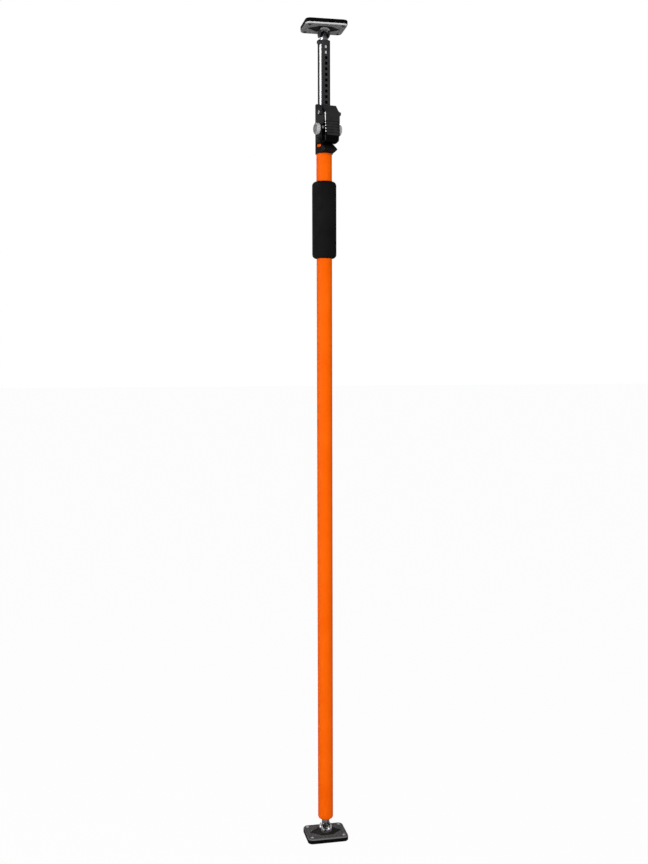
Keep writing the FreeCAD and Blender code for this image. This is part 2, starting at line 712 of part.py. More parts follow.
def pump_lever():
    """Hollow lever between the cheeks: open to the tube, ribbed on its front, rounded at its toe."""
    body = new_body("pump_lever", turned=True)
    side = outline(body, "XZ_Plane", [
        ("lever_top_reach", "lever_top"), ("lever_crest_reach", "lever_crest"), ("lever_reach", "lever_lip"),
        ("lever_toe_reach", "lever_lip"), ("lever_toe_reach", "lever_base"), ("lever_back", "lever_base"),
        ("lever_back", "lever_pivot_z - 15"), ("lever_tail_reach", "lift_pin_z - lever_tail_half"),
        ("lever_tail_reach", "lift_pin_z + lever_tail_half"), ("roof_back - 2", "lever_top - 1.5")])
    block = pad(body, side, "2 * lever_half")

    def toe_edge(one, two):
        level = near(one.z, number("lever_base")) and near(two.z, number("lever_base"))
        return level and near(one.x, two.x) and near(one.x, number("lever_toe_reach"))

    def toe_side_edge(one, two):
        ends = near(min(one.z, two.z), number("lever_base")) and near(one.y, two.y)
        return ends and near(max(one.z, two.z), number("lever_base + lever_toe_round"))

    def front_side_edge(one, two):
        ends = near(max(one.z, two.z), number("lever_crest")) and near(min(one.z, two.z), number("lever_lip"))
        return ends and near(one.y, two.y)

    toe = round_edges(body, block, "lever_toe_round", toe_edge)
    dome = round_edges(body, toe, "lever_toe_side", toe_side_edge)
    round_edges(body, dome, "lever_edge_round", front_side_edge)
    deep, low = "lever_toe_reach - lever_web", "lever_base + lever_web"
    hollow = outline(body, "XZ_Plane", [
        ("0", low), (deep + " - 9", low), (deep, low + " + 9"), (deep, "lever_lip + lever_web"),
        ("inner_crest_reach", "inner_crest_z"), ("inner_top_reach", "inner_top_z"),
        ("roof_back", "inner_top_z"), ("roof_back", "lever_top + 10"), ("0", "lever_top + 10")])
    pocket(body, hollow, "2 * lever_inner_half")
    pins = [("lever_pivot_reach", "lever_pivot_z", "lever_pin_d + 2 * running_fit"),
            ("lift_pin_reach", "lift_pin_z", "lift_pin_d + running_fit"),
            ("stop_pin_reach", "stop_pin_z", "stop_pin_d + running_fit")]
    pocket(body, rounds(body, "XZ_Plane", pins), "4 * lever_half")
    slope = "(lever_reach - lever_crest_reach) / (lever_crest - lever_lip)"
    for rib in range(round(number("rib_count"))):
        top = f"(rib_top - {rib} * rib_pitch)"
        low = f"({top} - rib_groove)"
        high_reach = f"lever_crest_reach + {slope} * (lever_crest - {top}) - rib_depth"
        low_reach = f"lever_crest_reach + {slope} * (lever_crest - {low}) - rib_depth"
        groove = outline(body, "XZ_Plane", [(high_reach, top), (f"lever_reach + {FAR}", top),
                                            (f"lever_reach + {FAR}", low), (low_reach, low)])
        pocket(body, groove, "4 * lever_half")
    return body


def cross_pin(label, diameter, half_length, reach, rise):
    pin = doc.addObject("Part::Cylinder", label)
    pin.Label = label
    bind(pin, "Radius", f"({diameter}) / 2")
    bind(pin, "Height", f"2 * ({half_length})")
    pin.Placement = across_placement(reach, rise, f"-({half_length})")
    return pin


def lever_pivot_pin():
    """Headed pin through both cheeks; the near head has a screwdriver slot."""
    body = new_body("lever_pivot_pin")
    face, top = "boss_face", "(boss_face + lever_pin_head_rise)"
    shank, rim, flat = "lever_pin_d / 2", "lever_pin_head_d / 2", "0.36 * lever_pin_head_d"
    revolve(body, [("0", "-" + top), (flat, "-" + top), (rim, "-" + face), (shank, "-" + face),
                   (shank, face), (rim, face), (flat, top), ("0", top)])
    ahead, beside = "lever_pin_head_d + 0.5", "lever_pin_head_d - 0.5"
    slot = outline(body, "XY_Plane", [("-" + ahead.replace("+", "-"), "-" + beside.replace("-", "+")),
                                      ("-" + beside.replace("-", "+"), "-" + ahead.replace("+", "-")),
                                      (ahead, beside), (beside, ahead)], "-" + top)
    pocket(body, slot, "0.5 * lever_pin_head_rise", "One side")
    body.Placement = across_placement("lever_pivot_reach", "lever_pivot_z", "0")
    return body


def pawl(label, points, hub_d, bore_d):
    """A flat pawl drawn in its locked position about its own pin."""
    body = new_body(label)
    pad(body, rounds(body, "XZ_Plane", [("0", "0", hub_d)]), "pawl_width")
    pad(body, outline(body, "XZ_Plane", points), "pawl_width")
    pocket(body, rounds(body, "XZ_Plane", [("0", "0", bore_d)]), "4 * pawl_width")
    return body


def lift_pawl():
    """Strut pawl: its tooth enters a slot and pushes the inner tube up as the lever closes."""
    tip = "lift_tooth_tip"
    low, high = "lift_tooth_rise - tooth_height / 2", "lift_tooth_rise + tooth_height / 2"
    skin = "inner_radius + 1.5 * clearance - lift_pin_reach"
    body = pawl("lift_pawl", [
        (tip, low), (tip, high), ("-lift_hub_d / 4", high + " + 0.4"), ("lift_hub_d / 2 - 0.2", "0.8"),
        ("-lift_hub_d / 2 + 0.6", "-1.4"), (skin, low + " - 1.6")],
        "lift_hub_d", "lift_pin_d + 2 * running_fit")
    body.Placement = head_placement("lift_pin_reach", "lift_pin_z", "lift_swing")
    return body


def holding_pawl():
    """Pawl on the knob shaft: the tube's weight draws its tooth further into the slot."""
    tip = "hold_tooth_tip"
    low, high = "hold_tooth_rise - tooth_height / 2", "hold_tooth_rise + tooth_height / 2"
    skin = "inner_radius + 1.5 * clearance - release_reach"
    body = pawl("holding_pawl", [
        (tip, low), (tip, high), (skin + " + 1.5", high + " + 0.4"), ("-1", "hold_tooth_rise - 2"),
        ("hold_hub_d / 2 - 0.9", "3"), ("-hold_hub_d / 2 + 0.9", "-3"), (skin, "4"), (skin, low + " - 1.8")],
        "hold_hub_d", "release_shaft_d + running_fit")
    body.Placement = head_placement("release_reach", "release_z", "hold_swing")
    return body


def release_knob(label, thick, near_side):
    """Turned knob pressed on an end of the release shaft."""
    body = new_body(label)
    revolve(body, [("0", "0"), ("knob_d / 2", "0"), ("knob_d / 2", thick + " - knob_bevel"),
                   ("knob_d / 2 - knob_bevel", thick), ("0.3 * knob_d", thick),
                   ("0.26 * knob_d", thick + " - 0.5"), ("0", thick + " - 0.5")])
    start = "(body_radius + clearance)"
    if near_side:
        body.Placement = mirrored_across("release_reach", "release_z", "-" + start)
    else:
        body.Placement = across_placement("release_reach", "release_z", start)
    return body


def lift_pawl_spring():
    """Leaf riveted flat under the lever's sloping front, its free end behind the lift pawl."""
    body = new_body("lift_pawl_spring", turned=True)

    def on_web(share, depth):
        reach = f"{1 - share} * inner_top_reach + {share} * inner_crest_reach - 0.77 * ({depth})"
        rise = f"{1 - share} * inner_top_z + {share} * inner_crest_z - 0.64 * ({depth})"
        return reach, rise

    tip_reach, tip_rise = "lift_pin_reach + 3.4", "lift_pin_z + lift_tooth_rise + 1.5"
    leaf = outline(body, "XZ_Plane", [
        on_web(0.75, "running_fit"), on_web(0.15, "running_fit"),
        (tip_reach, f"{tip_rise} + leaf_thick"), (tip_reach, tip_rise),
        on_web(0.21, "leaf_thick + running_fit"), on_web(0.75, "leaf_thick + running_fit")])
    pad(body, leaf, "leaf_width")
    return body


def holding_pawl_spring():
    """Leaf with an eye on the clamp screw, standing up behind the holding pawl."""
    body = new_body("holding_pawl_spring", turned=True)
    eye = "clamp_d + running_fit + 2 * leaf_thick"
    pad(body, rounds(body, "XZ_Plane", [("clamp_reach", "clamp_z", eye)]), "leaf_width")
    stand = "release_reach + hold_hub_d / 2 + 0.5"
    blade = outline(body, "XZ_Plane", [
        ("clamp_reach + clamp_d / 2", "clamp_z"), (stand + " + leaf_thick", "clamp_z + 7"),
        (stand + " + leaf_thick", "release_z + 5"), (stand, "release_z + 5"),
        (stand, "clamp_z + 7.3"), ("clamp_reach + clamp_d / 2 - 0.5", "clamp_z + 1")])
    pad(body, blade, "leaf_width")
    bore = rounds(body, "XZ_Plane", [("clamp_reach", "clamp_z", "clamp_d + running_fit")])
    pocket(body, bore, "4 * leaf_width")
    return body


pieces = []
for end_name, plug_start, plug_fit in (("foot", "tube_base + foot_plug_setback", "tube_bore - running_fit"),
                                       ("head", "head_rim + head_plug_setback", "inner_bore - running_fit")):
    pieces += [end_pad(end_name), end_plate(end_name), end_rivets(end_name), end_bracket(end_name),
               end_pivot_pin(end_name), end_stem(end_name, plug_start, plug_fit)]
pieces += [head_stem_rivet(), outer_tube(), tube_bush(), foam_grip(), inner_tube(), inner_guide()]
pieces += [ratchet_body(), clamp_screw(), clamp_nut(), pump_lever(), lever_pivot_pin()]
pieces += [cross_pin("lever_stop_pin", "stop_pin_d", "lever_half + stop_pin_proud",
                     "stop_pin_reach", "stop_pin_z"),
           cross_pin("lift_pawl_pin", "lift_pin_d", "lever_half", "lift_pin_reach", "lift_pin_z"),
           cross_pin("release_shaft", "release_shaft_d", "body_radius + clearance",
                     "release_reach", "release_z")]
pieces += [lift_pawl(), lift_pawl_spring(), holding_pawl(), holding_pawl_spring(),
           release_knob("release_knob_near", "near_knob_thick", True),
           release_knob("release_knob_far", "far_knob_thick", False)]

doc.recompute()
for item in doc.Objects:
    if "Invalid" in item.State or "Error" in item.State:
        raise ValueError(item.Label + " failed to build")
for piece in pieces:
    if piece.Shape.isNull() or not piece.Shape.isValid() or not piece.Shape.Solids:
        raise ValueError(piece.Label + " has no sound solid")

os.makedirs("parts", exist_ok=True)
for piece in pieces:
    piece.Shape.exportStep(f"parts/{piece.Label}.step")
    print(piece.Label, len(piece.Shape.Solids), round(piece.Shape.Volume, 1))
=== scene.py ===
# %% [markdown]
# # A telescopic prop
# A prop is a pole that is jammed between floor and ceiling. Here the hard pieces come from a CAD
# model, and this lesson gives them light, a camera, paint, plating, foam and rubber.

# %% Load the frame
import bmesh
import bpy
import math
from mathutils import Matrix, Vector


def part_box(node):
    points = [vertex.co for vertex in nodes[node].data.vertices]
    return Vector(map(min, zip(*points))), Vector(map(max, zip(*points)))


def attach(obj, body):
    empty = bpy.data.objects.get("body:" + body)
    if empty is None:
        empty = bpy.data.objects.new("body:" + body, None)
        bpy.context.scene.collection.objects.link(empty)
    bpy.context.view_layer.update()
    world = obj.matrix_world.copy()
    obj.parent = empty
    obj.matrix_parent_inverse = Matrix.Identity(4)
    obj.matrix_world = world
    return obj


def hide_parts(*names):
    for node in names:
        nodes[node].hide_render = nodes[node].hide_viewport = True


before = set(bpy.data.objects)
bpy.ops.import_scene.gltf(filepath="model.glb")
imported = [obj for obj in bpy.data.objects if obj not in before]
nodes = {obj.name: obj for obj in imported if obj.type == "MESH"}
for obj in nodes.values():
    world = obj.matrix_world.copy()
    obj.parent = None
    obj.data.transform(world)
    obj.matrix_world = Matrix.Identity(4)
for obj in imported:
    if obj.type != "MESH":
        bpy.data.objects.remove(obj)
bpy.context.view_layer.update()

# %% [markdown]
# The photograph was taken from about two metres, a little to the left of the plates' middle, with the
# lens at the height of a chest. A camera can be placed by eye and nudged, or worked out from the
# outlines of the tube and plates. The second way is used here, because a long thin object shows every
# degree of error, so the numbers below are a fitted place, tilt and focal length.

# %% Camera
CAMERA_TURN = math.radians(-12)
CAMERA_PLACE = (0, -2.1764, 1.0152)
SENSOR_HEIGHT = 36
FOCAL_PIXELS, IMAGE_HEIGHT = 1044.76, 864
camera_data = bpy.data.cameras.new("studio_camera")
camera_data.sensor_fit = "VERTICAL"
camera_data.sensor_height = SENSOR_HEIGHT
camera_data.lens = SENSOR_HEIGHT * FOCAL_PIXELS / IMAGE_HEIGHT
camera = bpy.data.objects.new("studio_camera", camera_data)
bpy.context.collection.objects.link(camera)
yaw, pitch, roll = math.radians(-0.04), math.radians(-3.88), math.radians(-0.13)
forward = Vector((math.sin(yaw) * math.cos(pitch), math.cos(yaw) * math.cos(pitch), math.sin(pitch)))
level = Vector((math.cos(yaw), -math.sin(yaw), 0))
above = level.cross(forward)
right = level * math.cos(roll) + above * math.sin(roll)
up = above * math.cos(roll) - level * math.sin(roll)
aim = Matrix((right, up, -forward)).transposed().to_4x4()
stand = Matrix.Rotation(CAMERA_TURN, 4, "Z") @ Matrix.Translation(CAMERA_PLACE)
camera.matrix_world = stand @ aim
bpy.context.scene.camera = camera
print("camera at", [round(value, 3) for value in camera.location])

# %% [markdown]
# The object stands before a white surround. A world that shines white would wash the object out, so this
# one is white only to the eye: camera, mirror and glass rays find plain white, while the diffuse light that
# it gives is much lower. The Light Path node tells these rays apart.

# %% White surround
SURROUND_LIGHT = 0.36
scene = bpy.context.scene
scene.view_settings.view_transform = "Standard"


def white_to_the_eye(tree):
    """One for camera, mirror and glass rays, zero for diffuse light."""
    rays = tree.nodes.new("ShaderNodeLightPath")
    largest = rays.outputs["Is Camera Ray"]
    for name in ("Is Glossy Ray", "Is Transmission Ray"):
        pick = tree.nodes.new("ShaderNodeMath")
        pick.operation = "MAXIMUM"
        tree.links.new(largest, pick.inputs[0])
        tree.links.new(rays.outputs[name], pick.inputs[1])
        largest = pick.outputs[0]
    return largest


def spread(tree, source, low, high, start=0.0, end=1.0):
    """Map a value from start..end to low..high."""
    node = tree.nodes.new("ShaderNodeMapRange")
    node.inputs["From Min"].default_value = start
    node.inputs["From Max"].default_value = end
    node.inputs["To Min"].default_value = low
    node.inputs["To Max"].default_value = high
    tree.links.new(source, node.inputs["Value"])
    return node.outputs["Result"]


world = bpy.data.worlds.new("white_surround")
scene.world = world
world.use_nodes = True
tree = world.node_tree
surround = tree.nodes["Background"]
surround.inputs["Color"].default_value = (1.0, 1.0, 1.0, 1)
tree.links.new(spread(tree, white_to_the_eye(tree), SURROUND_LIGHT, 1.0), surround.inputs["Strength"])
print("white surround that lights with a strength of", SURROUND_LIGHT)

# %% [markdown]
# The floor is a sheet of white paper. With a plain white material it would need strong lamps to look white,
# so most of what the eye sees of it is a white of its own, in the same way as the surround's. A small share
# of ordinary matt paper stays in it, so it keeps the object's shadow.

# %% Paper
PAPER_HALF, PAPER_WHITE = 40, 0.965
paper_mesh = bpy.data.meshes.new("paper")
paper_form = bmesh.new()
bmesh.ops.create_grid(paper_form, x_segments=1, y_segments=1, size=PAPER_HALF)
paper_form.to_mesh(paper_mesh)
paper_form.free()
paper = bpy.data.objects.new("paper", paper_mesh)
bpy.context.collection.objects.link(paper)
paper_finish = bpy.data.materials.new("white_paper")
paper_finish.use_nodes = True
tree = paper_finish.node_tree
matt = tree.nodes["Principled BSDF"]
matt.inputs["Base Color"].default_value = (0.86, 0.86, 0.86, 1)
matt.inputs["Roughness"].default_value = 0.9
matt.inputs["Specular IOR Level"].default_value = 0.1
white = tree.nodes.new("ShaderNodeEmission")
blend = tree.nodes.new("ShaderNodeMixShader")
tree.links.new(spread(tree, white_to_the_eye(tree), 0.0, PAPER_WHITE), blend.inputs["Fac"])
tree.links.new(matt.outputs[0], blend.inputs[1])
tree.links.new(white.outputs[0], blend.inputs[2])
tree.links.new(blend.outputs[0], tree.nodes["Material Output"].inputs["Surface"])
paper_mesh.materials.append(paper_finish)
print("paper", 2 * PAPER_HALF, "m across")

# %% [markdown]
# Two soft lamps light the pole: a broad one beside the camera and a weaker one on the left. They are kept
# out of mirror rays. The pale stripe down the plated tube comes from a tall strip at the left that only
# mirrors see, which is how a studio draws a clean edge light on metal, and a dim strip behind it lifts the
# tube's far edge.

# %% Lamps
AIM_HEIGHT = 0.9


def soft_lamp(name, degrees_left, distance, height, width, tall, watts, mirrored):
    """A softbox turned to face the pole; the angle is counted from the camera."""
    data = bpy.data.lights.new(name, "AREA")
    data.shape = "RECTANGLE"
    data.size, data.size_y = width, tall
    data.energy = watts
    lamp = bpy.data.objects.new(name, data)
    bpy.context.collection.objects.link(lamp)
    turn = CAMERA_TURN - math.radians(degrees_left)
    lamp.location = (math.sin(turn) * distance, -math.cos(turn) * distance, height)
    facing = Vector((0, 0, AIM_HEIGHT)) - lamp.location
    lamp.rotation_euler = facing.to_track_quat("-Z", "Y").to_euler()
    lamp.visible_glossy = mirrored
    lamp.visible_diffuse = not mirrored


soft_lamp("front_box", degrees_left=4, distance=3.2, height=1.7, width=1.6, tall=2.0, watts=72,
          mirrored=False)
soft_lamp("left_box", degrees_left=66, distance=2.4, height=1.5, width=1.0, tall=2.4, watts=6,
          mirrored=False)
soft_lamp("strip", degrees_left=68, distance=1.7, height=0.95, width=0.8, tall=3.2, watts=360,
          mirrored=True)
soft_lamp("edge_strip", degrees_left=128, distance=1.9, height=0.95, width=1.6, tall=3.2, watts=40,
          mirrored=True)
print("two softboxes and two strips are lit")

# %% [markdown]
# ## Finishes
# Every surface gets a node material. Its steady values sit on the shader's own sockets, where the export can
# read them. The CAD meshes are loose triangles, so modifiers weld them for smooth shading and split them
# again at sharp edges. Bevels could soften those edges too, but the rounds that matter are in the CAD.

# %% Start a finish and put it on
EDGE_ANGLE = math.radians(26)
SAME_POINT = 1e-6


def start_finish(name, colour, roughness, metallic=0.0, specular=0.5, edge=1.0):
    """A new material whose steady values sit on the shader's own sockets; edge dims its grazing shine."""
    finish = bpy.data.materials.new(name)
    finish.use_nodes = True
    shader = finish.node_tree.nodes["Principled BSDF"]
    shader.inputs["Base Color"].default_value = (*colour, 1)
    shader.inputs["Roughness"].default_value = roughness
    shader.inputs["Metallic"].default_value = metallic
    shader.inputs["Specular IOR Level"].default_value = specular
    shader.inputs["Specular Tint"].default_value = (edge, edge, edge, 1)
    return finish


def dress(finish, *names):
    """Put a finish on CAD nodes and shade their turned faces smooth, with sharp edges left sharp."""
    for name in names:
        solid = nodes[name]
        solid.data.materials.clear()
        solid.data.materials.append(finish)
        solid.data.polygons.foreach_set("use_smooth", [True] * len(solid.data.polygons))
        weld = solid.modifiers.new("join_facets", "WELD")
        weld.merge_threshold = SAME_POINT
        split = solid.modifiers.new("keep_edges", "EDGE_SPLIT")
        split.split_angle = EDGE_ANGLE


print("edges sharper than", round(math.degrees(EDGE_ANGLE)), "degrees stay sharp")

# %% [markdown]
# Real paint and metal are never quite even. A photograph of a surface could show that, but it needs a UV map
# and has seams. Noise on Object coordinates runs through the whole solid instead, and stays put when the
# piece moves. The helpers below turn it into colour, roughness or relief.

# %% Noise, colour, gloss and relief


def noise_on(finish, scale, stretch=(1, 1, 1), detail=4.0, roughness=0.55):
    """Noise in the object's own space; a stretch below 1 draws it out along that axis."""
    tree = finish.node_tree
    place = tree.nodes.new("ShaderNodeTexCoord")
    mapping = tree.nodes.new("ShaderNodeMapping")
    mapping.inputs["Scale"].default_value = stretch
    noise = tree.nodes.new("ShaderNodeTexNoise")
    noise.inputs["Scale"].default_value = scale
    noise.inputs["Detail"].default_value = detail
    noise.inputs["Roughness"].default_value = roughness
    tree.links.new(place.outputs["Object"], mapping.inputs["Vector"])
    tree.links.new(mapping.outputs["Vector"], noise.inputs["Vector"])
    return noise.outputs["Fac"]


def tint(finish, source, dark, light, low=0.35, high=0.65):
    """Colour that drifts between two shades as the noise does."""
    tree = finish.node_tree
    ramp = tree.nodes.new("ShaderNodeValToRGB")
    ramp.color_ramp.elements[0].position = low
    ramp.color_ramp.elements[0].color = (*dark, 1)
    ramp.color_ramp.elements[1].position = high
    ramp.color_ramp.elements[1].color = (*light, 1)
    tree.links.new(source, ramp.inputs["Fac"])
    tree.links.new(ramp.outputs["Color"], tree.nodes["Principled BSDF"].inputs["Base Color"])
    return ramp.outputs["Color"]


def gloss(finish, source, smooth, rough, low=0.3, high=0.7):
    """Roughness that drifts between two values as the noise does."""
    tree = finish.node_tree
    drift = spread(tree, source, smooth, rough, low, high)
    tree.links.new(drift, tree.nodes["Principled BSDF"].inputs["Roughness"])


def relief(finish, source, strength, depth):
    """Small bumps; depth is in metres."""
    tree = finish.node_tree
    bump = tree.nodes.new("ShaderNodeBump")
    bump.inputs["Strength"].default_value = strength
    bump.inputs["Distance"].default_value = depth
    tree.links.new(source, bump.inputs["Height"])
    tree.links.new(bump.outputs["Normal"], tree.nodes["Principled BSDF"].inputs["Normal"])


print("noise can drive colour, gloss and relief")

# %% [markdown]
# The lower tube is powder coated. Powder melts into a thin skin with a faint orange-peel ripple and a satin
# sheen. The ripple could be modelled, but it is far finer than the tube's facets, so very shallow relief
# gives it, while the colour hardly varies and the roughness drifts a little.

# %% Orange powder coat
orange_coat = start_finish("orange_powder_coat", (0.93, 0.125, 0.002), 0.5, specular=0.005)
tint(orange_coat, noise_on(orange_coat, 14), (0.9, 0.115, 0.0015), (0.96, 0.135, 0.003))
gloss(orange_coat, noise_on(orange_coat, 60), 0.45, 0.58)
relief(orange_coat, noise_on(orange_coat, 900, detail=2), 0.12, 0.0002)
dress(orange_coat, "outer_tube")
print("orange coat on the lower tube")

# %% [markdown]
# The climbing tube is dark plated steel that shines, and so is the rivet across its top. The head plate's
# rivets wear the same dark plating as painted shade: they are the same rivets as the foot's, darker here
# where they face down under the plate. The tube slides in a bush, so fine scratches run along it. An
# anisotropic shader could show them, but it needs tangents to follow. Noise drawn out along Z needs only the
# object's own coordinates.

# %% Dark plated steel
dark_plating = start_finish("dark_plated_steel", (0.038, 0.038, 0.04), 0.16, metallic=1.0, edge=0.15)
tint(dark_plating, noise_on(dark_plating, 40, (1, 1, 0.12)), (0.03, 0.03, 0.032), (0.047, 0.047, 0.049))
gloss(dark_plating, noise_on(dark_plating, 700, (1, 1, 0.02)), 0.1, 0.2)
relief(dark_plating, noise_on(dark_plating, 1500, (1, 1, 0.015)), 0.025, 0.0001)
# painted shade: the head plate's rivets wear the dark plating, though they match the foot's rivets
dress(dark_plating, "inner_tube", "head_stem_rivet", "head_rivets")
print("dark plating on the climbing tube and some rivets")

# %% [markdown]
# Some pieces change tone from place to place: bare where they are rubbed, or dark in a hollow. Such a place
# could be painted on a UV map, but CAD meshes have none. A mask worked out from the object's own X, Y and Z
# is one inside the place and zero elsewhere, and a flat colour is laid over the finish where it is one. The
# ratchet head stands a little turned on the tubes, so its masks need the distance along its cross pins.

# %% Masks
HEAD_TURN = math.radians(11)
PIN_LINE = (math.cos(HEAD_TURN), math.sin(HEAD_TURN))


def axes_of(finish):
    """The object's own X, Y and Z as three values."""
    tree = finish.node_tree
    place = tree.nodes.new("ShaderNodeTexCoord")
    parts = tree.nodes.new("ShaderNodeSeparateXYZ")
    tree.links.new(place.outputs["Object"], parts.inputs[0])
    return parts.outputs["X"], parts.outputs["Y"], parts.outputs["Z"]


def reckon(finish, operation, first, second=None):
    """One step of arithmetic on a value and a number or another value."""
    tree = finish.node_tree
    step = tree.nodes.new("ShaderNodeMath")
    step.operation = operation
    tree.links.new(first, step.inputs[0])
    if isinstance(second, (int, float)):
        step.inputs[1].default_value = second
    elif second is not None:
        tree.links.new(second, step.inputs[1])
    return step.outputs[0]


def sideways_of(finish):
    """The distance from the tubes' axis along the head's cross pins."""
    across, along, _ = axes_of(finish)
    return reckon(finish, "ADD", reckon(finish, "MULTIPLY", across, PIN_LINE[0]),
                  reckon(finish, "MULTIPLY", along, PIN_LINE[1]))


def overlay(finish, under, mask, colour):
    """Lay a flat colour over the base colour where the mask is one."""
    tree = finish.node_tree
    mix = tree.nodes.new("ShaderNodeMix")
    mix.data_type = "RGBA"
    sockets = {socket.identifier: socket for socket in mix.inputs}
    sockets["B_Color"].default_value = (*colour, 1)
    tree.links.new(mask, sockets["Factor_Float"])
    tree.links.new(under, sockets["A_Color"])
    result = [socket for socket in mix.outputs if socket.identifier == "Result_Color"][0]
    tree.links.new(result, tree.nodes["Principled BSDF"].inputs["Base Color"])
    return result


print("cross pins turned by", round(math.degrees(HEAD_TURN)), "degrees")

# %% [markdown]
# The lever turns on a headed pin of dark steel. Its slotted end on the left is painted bright, a painted
# highlight for the glints that the light draws on that end, while the far end stays dark. That end could be
# a piece of its own, but only its colour differs, so a mask along the pin is enough.

# %% Slotted pin
PIN_END = 0.0236
slotted_pin = start_finish("slotted_pin", (0.038, 0.038, 0.04), 0.18, metallic=1.0, edge=0.15)
pin_shade = tint(slotted_pin, noise_on(slotted_pin, 200), (0.03, 0.03, 0.032), (0.047, 0.047, 0.049))
# painted highlight: the pin's near end is coloured bright, the far end is not
glint_end_mask = reckon(slotted_pin, "LESS_THAN", sideways_of(slotted_pin), -PIN_END)
overlay(slotted_pin, pin_shade, glint_end_mask, (0.3, 0.3, 0.305))
gloss(slotted_pin, noise_on(slotted_pin, 700), 0.12, 0.24)
relief(slotted_pin, noise_on(slotted_pin, 1500), 0.04, 0.0001)
dress(slotted_pin, "lever_pivot_pin")
print("pin bright beyond", 1000 * PIN_END, "mm")

# %% [markdown]
# The ratchet body is painted with a fine texture. It is so dark that relief and gloss, rather than colour,
# tell it from the lever. Its collar is painted darker than the housing above, as painted shade where the
# light from above falls off. Two materials would need faces that end at that height, so a mask made from the
# height dims the colour instead.

# %% Textured black paint
COLLAR_HEIGHT = 0.027
collar_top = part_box("ratchet_body")[0].z + COLLAR_HEIGHT
body_paint = start_finish("textured_black_paint", (0.0165, 0.017, 0.0165), 0.6, specular=0.008, edge=0.5)
body_shade = tint(body_paint, noise_on(body_paint, 90), (0.012, 0.0125, 0.012), (0.021, 0.0215, 0.021))
# painted shade: below the collar's top the colour is darkened
collar_shade_mask = reckon(body_paint, "LESS_THAN", axes_of(body_paint)[2], collar_top)
overlay(body_paint, body_shade, collar_shade_mask, (0.007, 0.0072, 0.007))
gloss(body_paint, noise_on(body_paint, 300), 0.52, 0.7)
relief(body_paint, noise_on(body_paint, 2200, detail=3), 0.25, 0.0002)
dress(body_paint, "ratchet_body", "clamp_screw", "clamp_nut")
print("textured paint, darker below", round(collar_top, 4), "m")

# %% [markdown]
# The lever's lacquer is smoother and has a metal-like shine, so its rounded edges catch the strip. Its flat
# flanks would mirror the whole strip, so a mask made from the distance along the cross pins leaves the shine
# to the edges. The toe is painted darker than the ribbed face, as painted shade where it curves under, and
# the edges are painted dim in the grooves and below them, as painted shade. On the left the edge is painted
# bright, a painted highlight, so the line of light there breaks up into dots. Heights are counted from the
# lever's foot, because the ribs belong to it.

# %% Smooth black paint
LEVER_FLANK, LEVER_ROUND = 0.01565, 0.0129
LEVER_LIP, LEVER_CREST = 0.014, 0.059
RIB_TOP, RIB_LAST, RIB_PITCH, RIB_GROOVE = 0.0424, 0.02, 0.0056, 0.0028
lever_paint = start_finish("smooth_black_paint", (0.025, 0.025, 0.025), 0.28, metallic=1.0, edge=0.5)
lever_shade = tint(lever_paint, noise_on(lever_paint, 120), (0.021, 0.021, 0.021), (0.03, 0.03, 0.03))
height = reckon(lever_paint, "SUBTRACT", axes_of(lever_paint)[2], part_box("pump_lever")[0].z)
# painted shade: the toe below the lip is coloured darker, where it curves under
below_lip = reckon(lever_paint, "LESS_THAN", height, LEVER_LIP)
lever_shade = overlay(lever_paint, lever_shade, below_lip, (0.003, 0.003, 0.0032))
sideways = sideways_of(lever_paint)
below_crest = reckon(lever_paint, "LESS_THAN", height, LEVER_CREST)
# painted highlight: the left edge below the crest is coloured bright
painted_highlight = reckon(lever_paint, "MULTIPLY", below_crest,
                reckon(lever_paint, "LESS_THAN", sideways, -LEVER_ROUND))
lever_shade = overlay(lever_paint, lever_shade, painted_highlight, (0.06, 0.06, 0.06))
offset = reckon(lever_paint, "ABSOLUTE", sideways)
on_flank = reckon(lever_paint, "GREATER_THAN", offset, LEVER_FLANK)
# painted shade: the edges are dimmed in the grooves and below the last rib
ribs_down = reckon(lever_paint, "DIVIDE", reckon(lever_paint, "SUBTRACT", height, RIB_TOP), RIB_PITCH)
in_beat = reckon(lever_paint, "GREATER_THAN", reckon(lever_paint, "FRACT", ribs_down),
                 1 - RIB_GROOVE / RIB_PITCH)
in_groove = reckon(lever_paint, "MULTIPLY", in_beat, reckon(lever_paint, "LESS_THAN", height, RIB_TOP))
unlit = reckon(lever_paint, "MAXIMUM", in_groove, reckon(lever_paint, "LESS_THAN", height, RIB_LAST))
on_edge = reckon(lever_paint, "MULTIPLY", unlit, reckon(lever_paint, "GREATER_THAN", offset, LEVER_ROUND))
dim = reckon(lever_paint, "MAXIMUM", on_flank, on_edge)
overlay(lever_paint, lever_shade, dim, (0.001, 0.001, 0.001))
gloss(lever_paint, noise_on(lever_paint, 260), 0.22, 0.34)
relief(lever_paint, noise_on(lever_paint, 2600, detail=2), 0.05, 0.0001)
dress(lever_paint, "pump_lever")
print("smooth paint, rubbed bright between", round((RIB_TOP - RIB_LAST) / RIB_PITCH), "grooves")

# %% [markdown]
# Pins and straps are zinc plated: grey, a little cloudy, brighter where an edge catches the strip, and dull
# on the foot's rivets. One recipe serves them all, because they differ only in shade and gloss. The dull one
# is no metal to the shader, so that it mirrors no lamp.

# %% Zinc plate


def plated(finish, cloud, dark, light, smooth, rough):
    """Cloudy plating with a fine grain; gives back its colour, for a mask to lie over."""
    shade = tint(finish, noise_on(finish, cloud), dark, light)
    gloss(finish, noise_on(finish, 500), smooth, rough)
    relief(finish, noise_on(finish, 1800, detail=2), 0.08, 0.0001)
    return shade


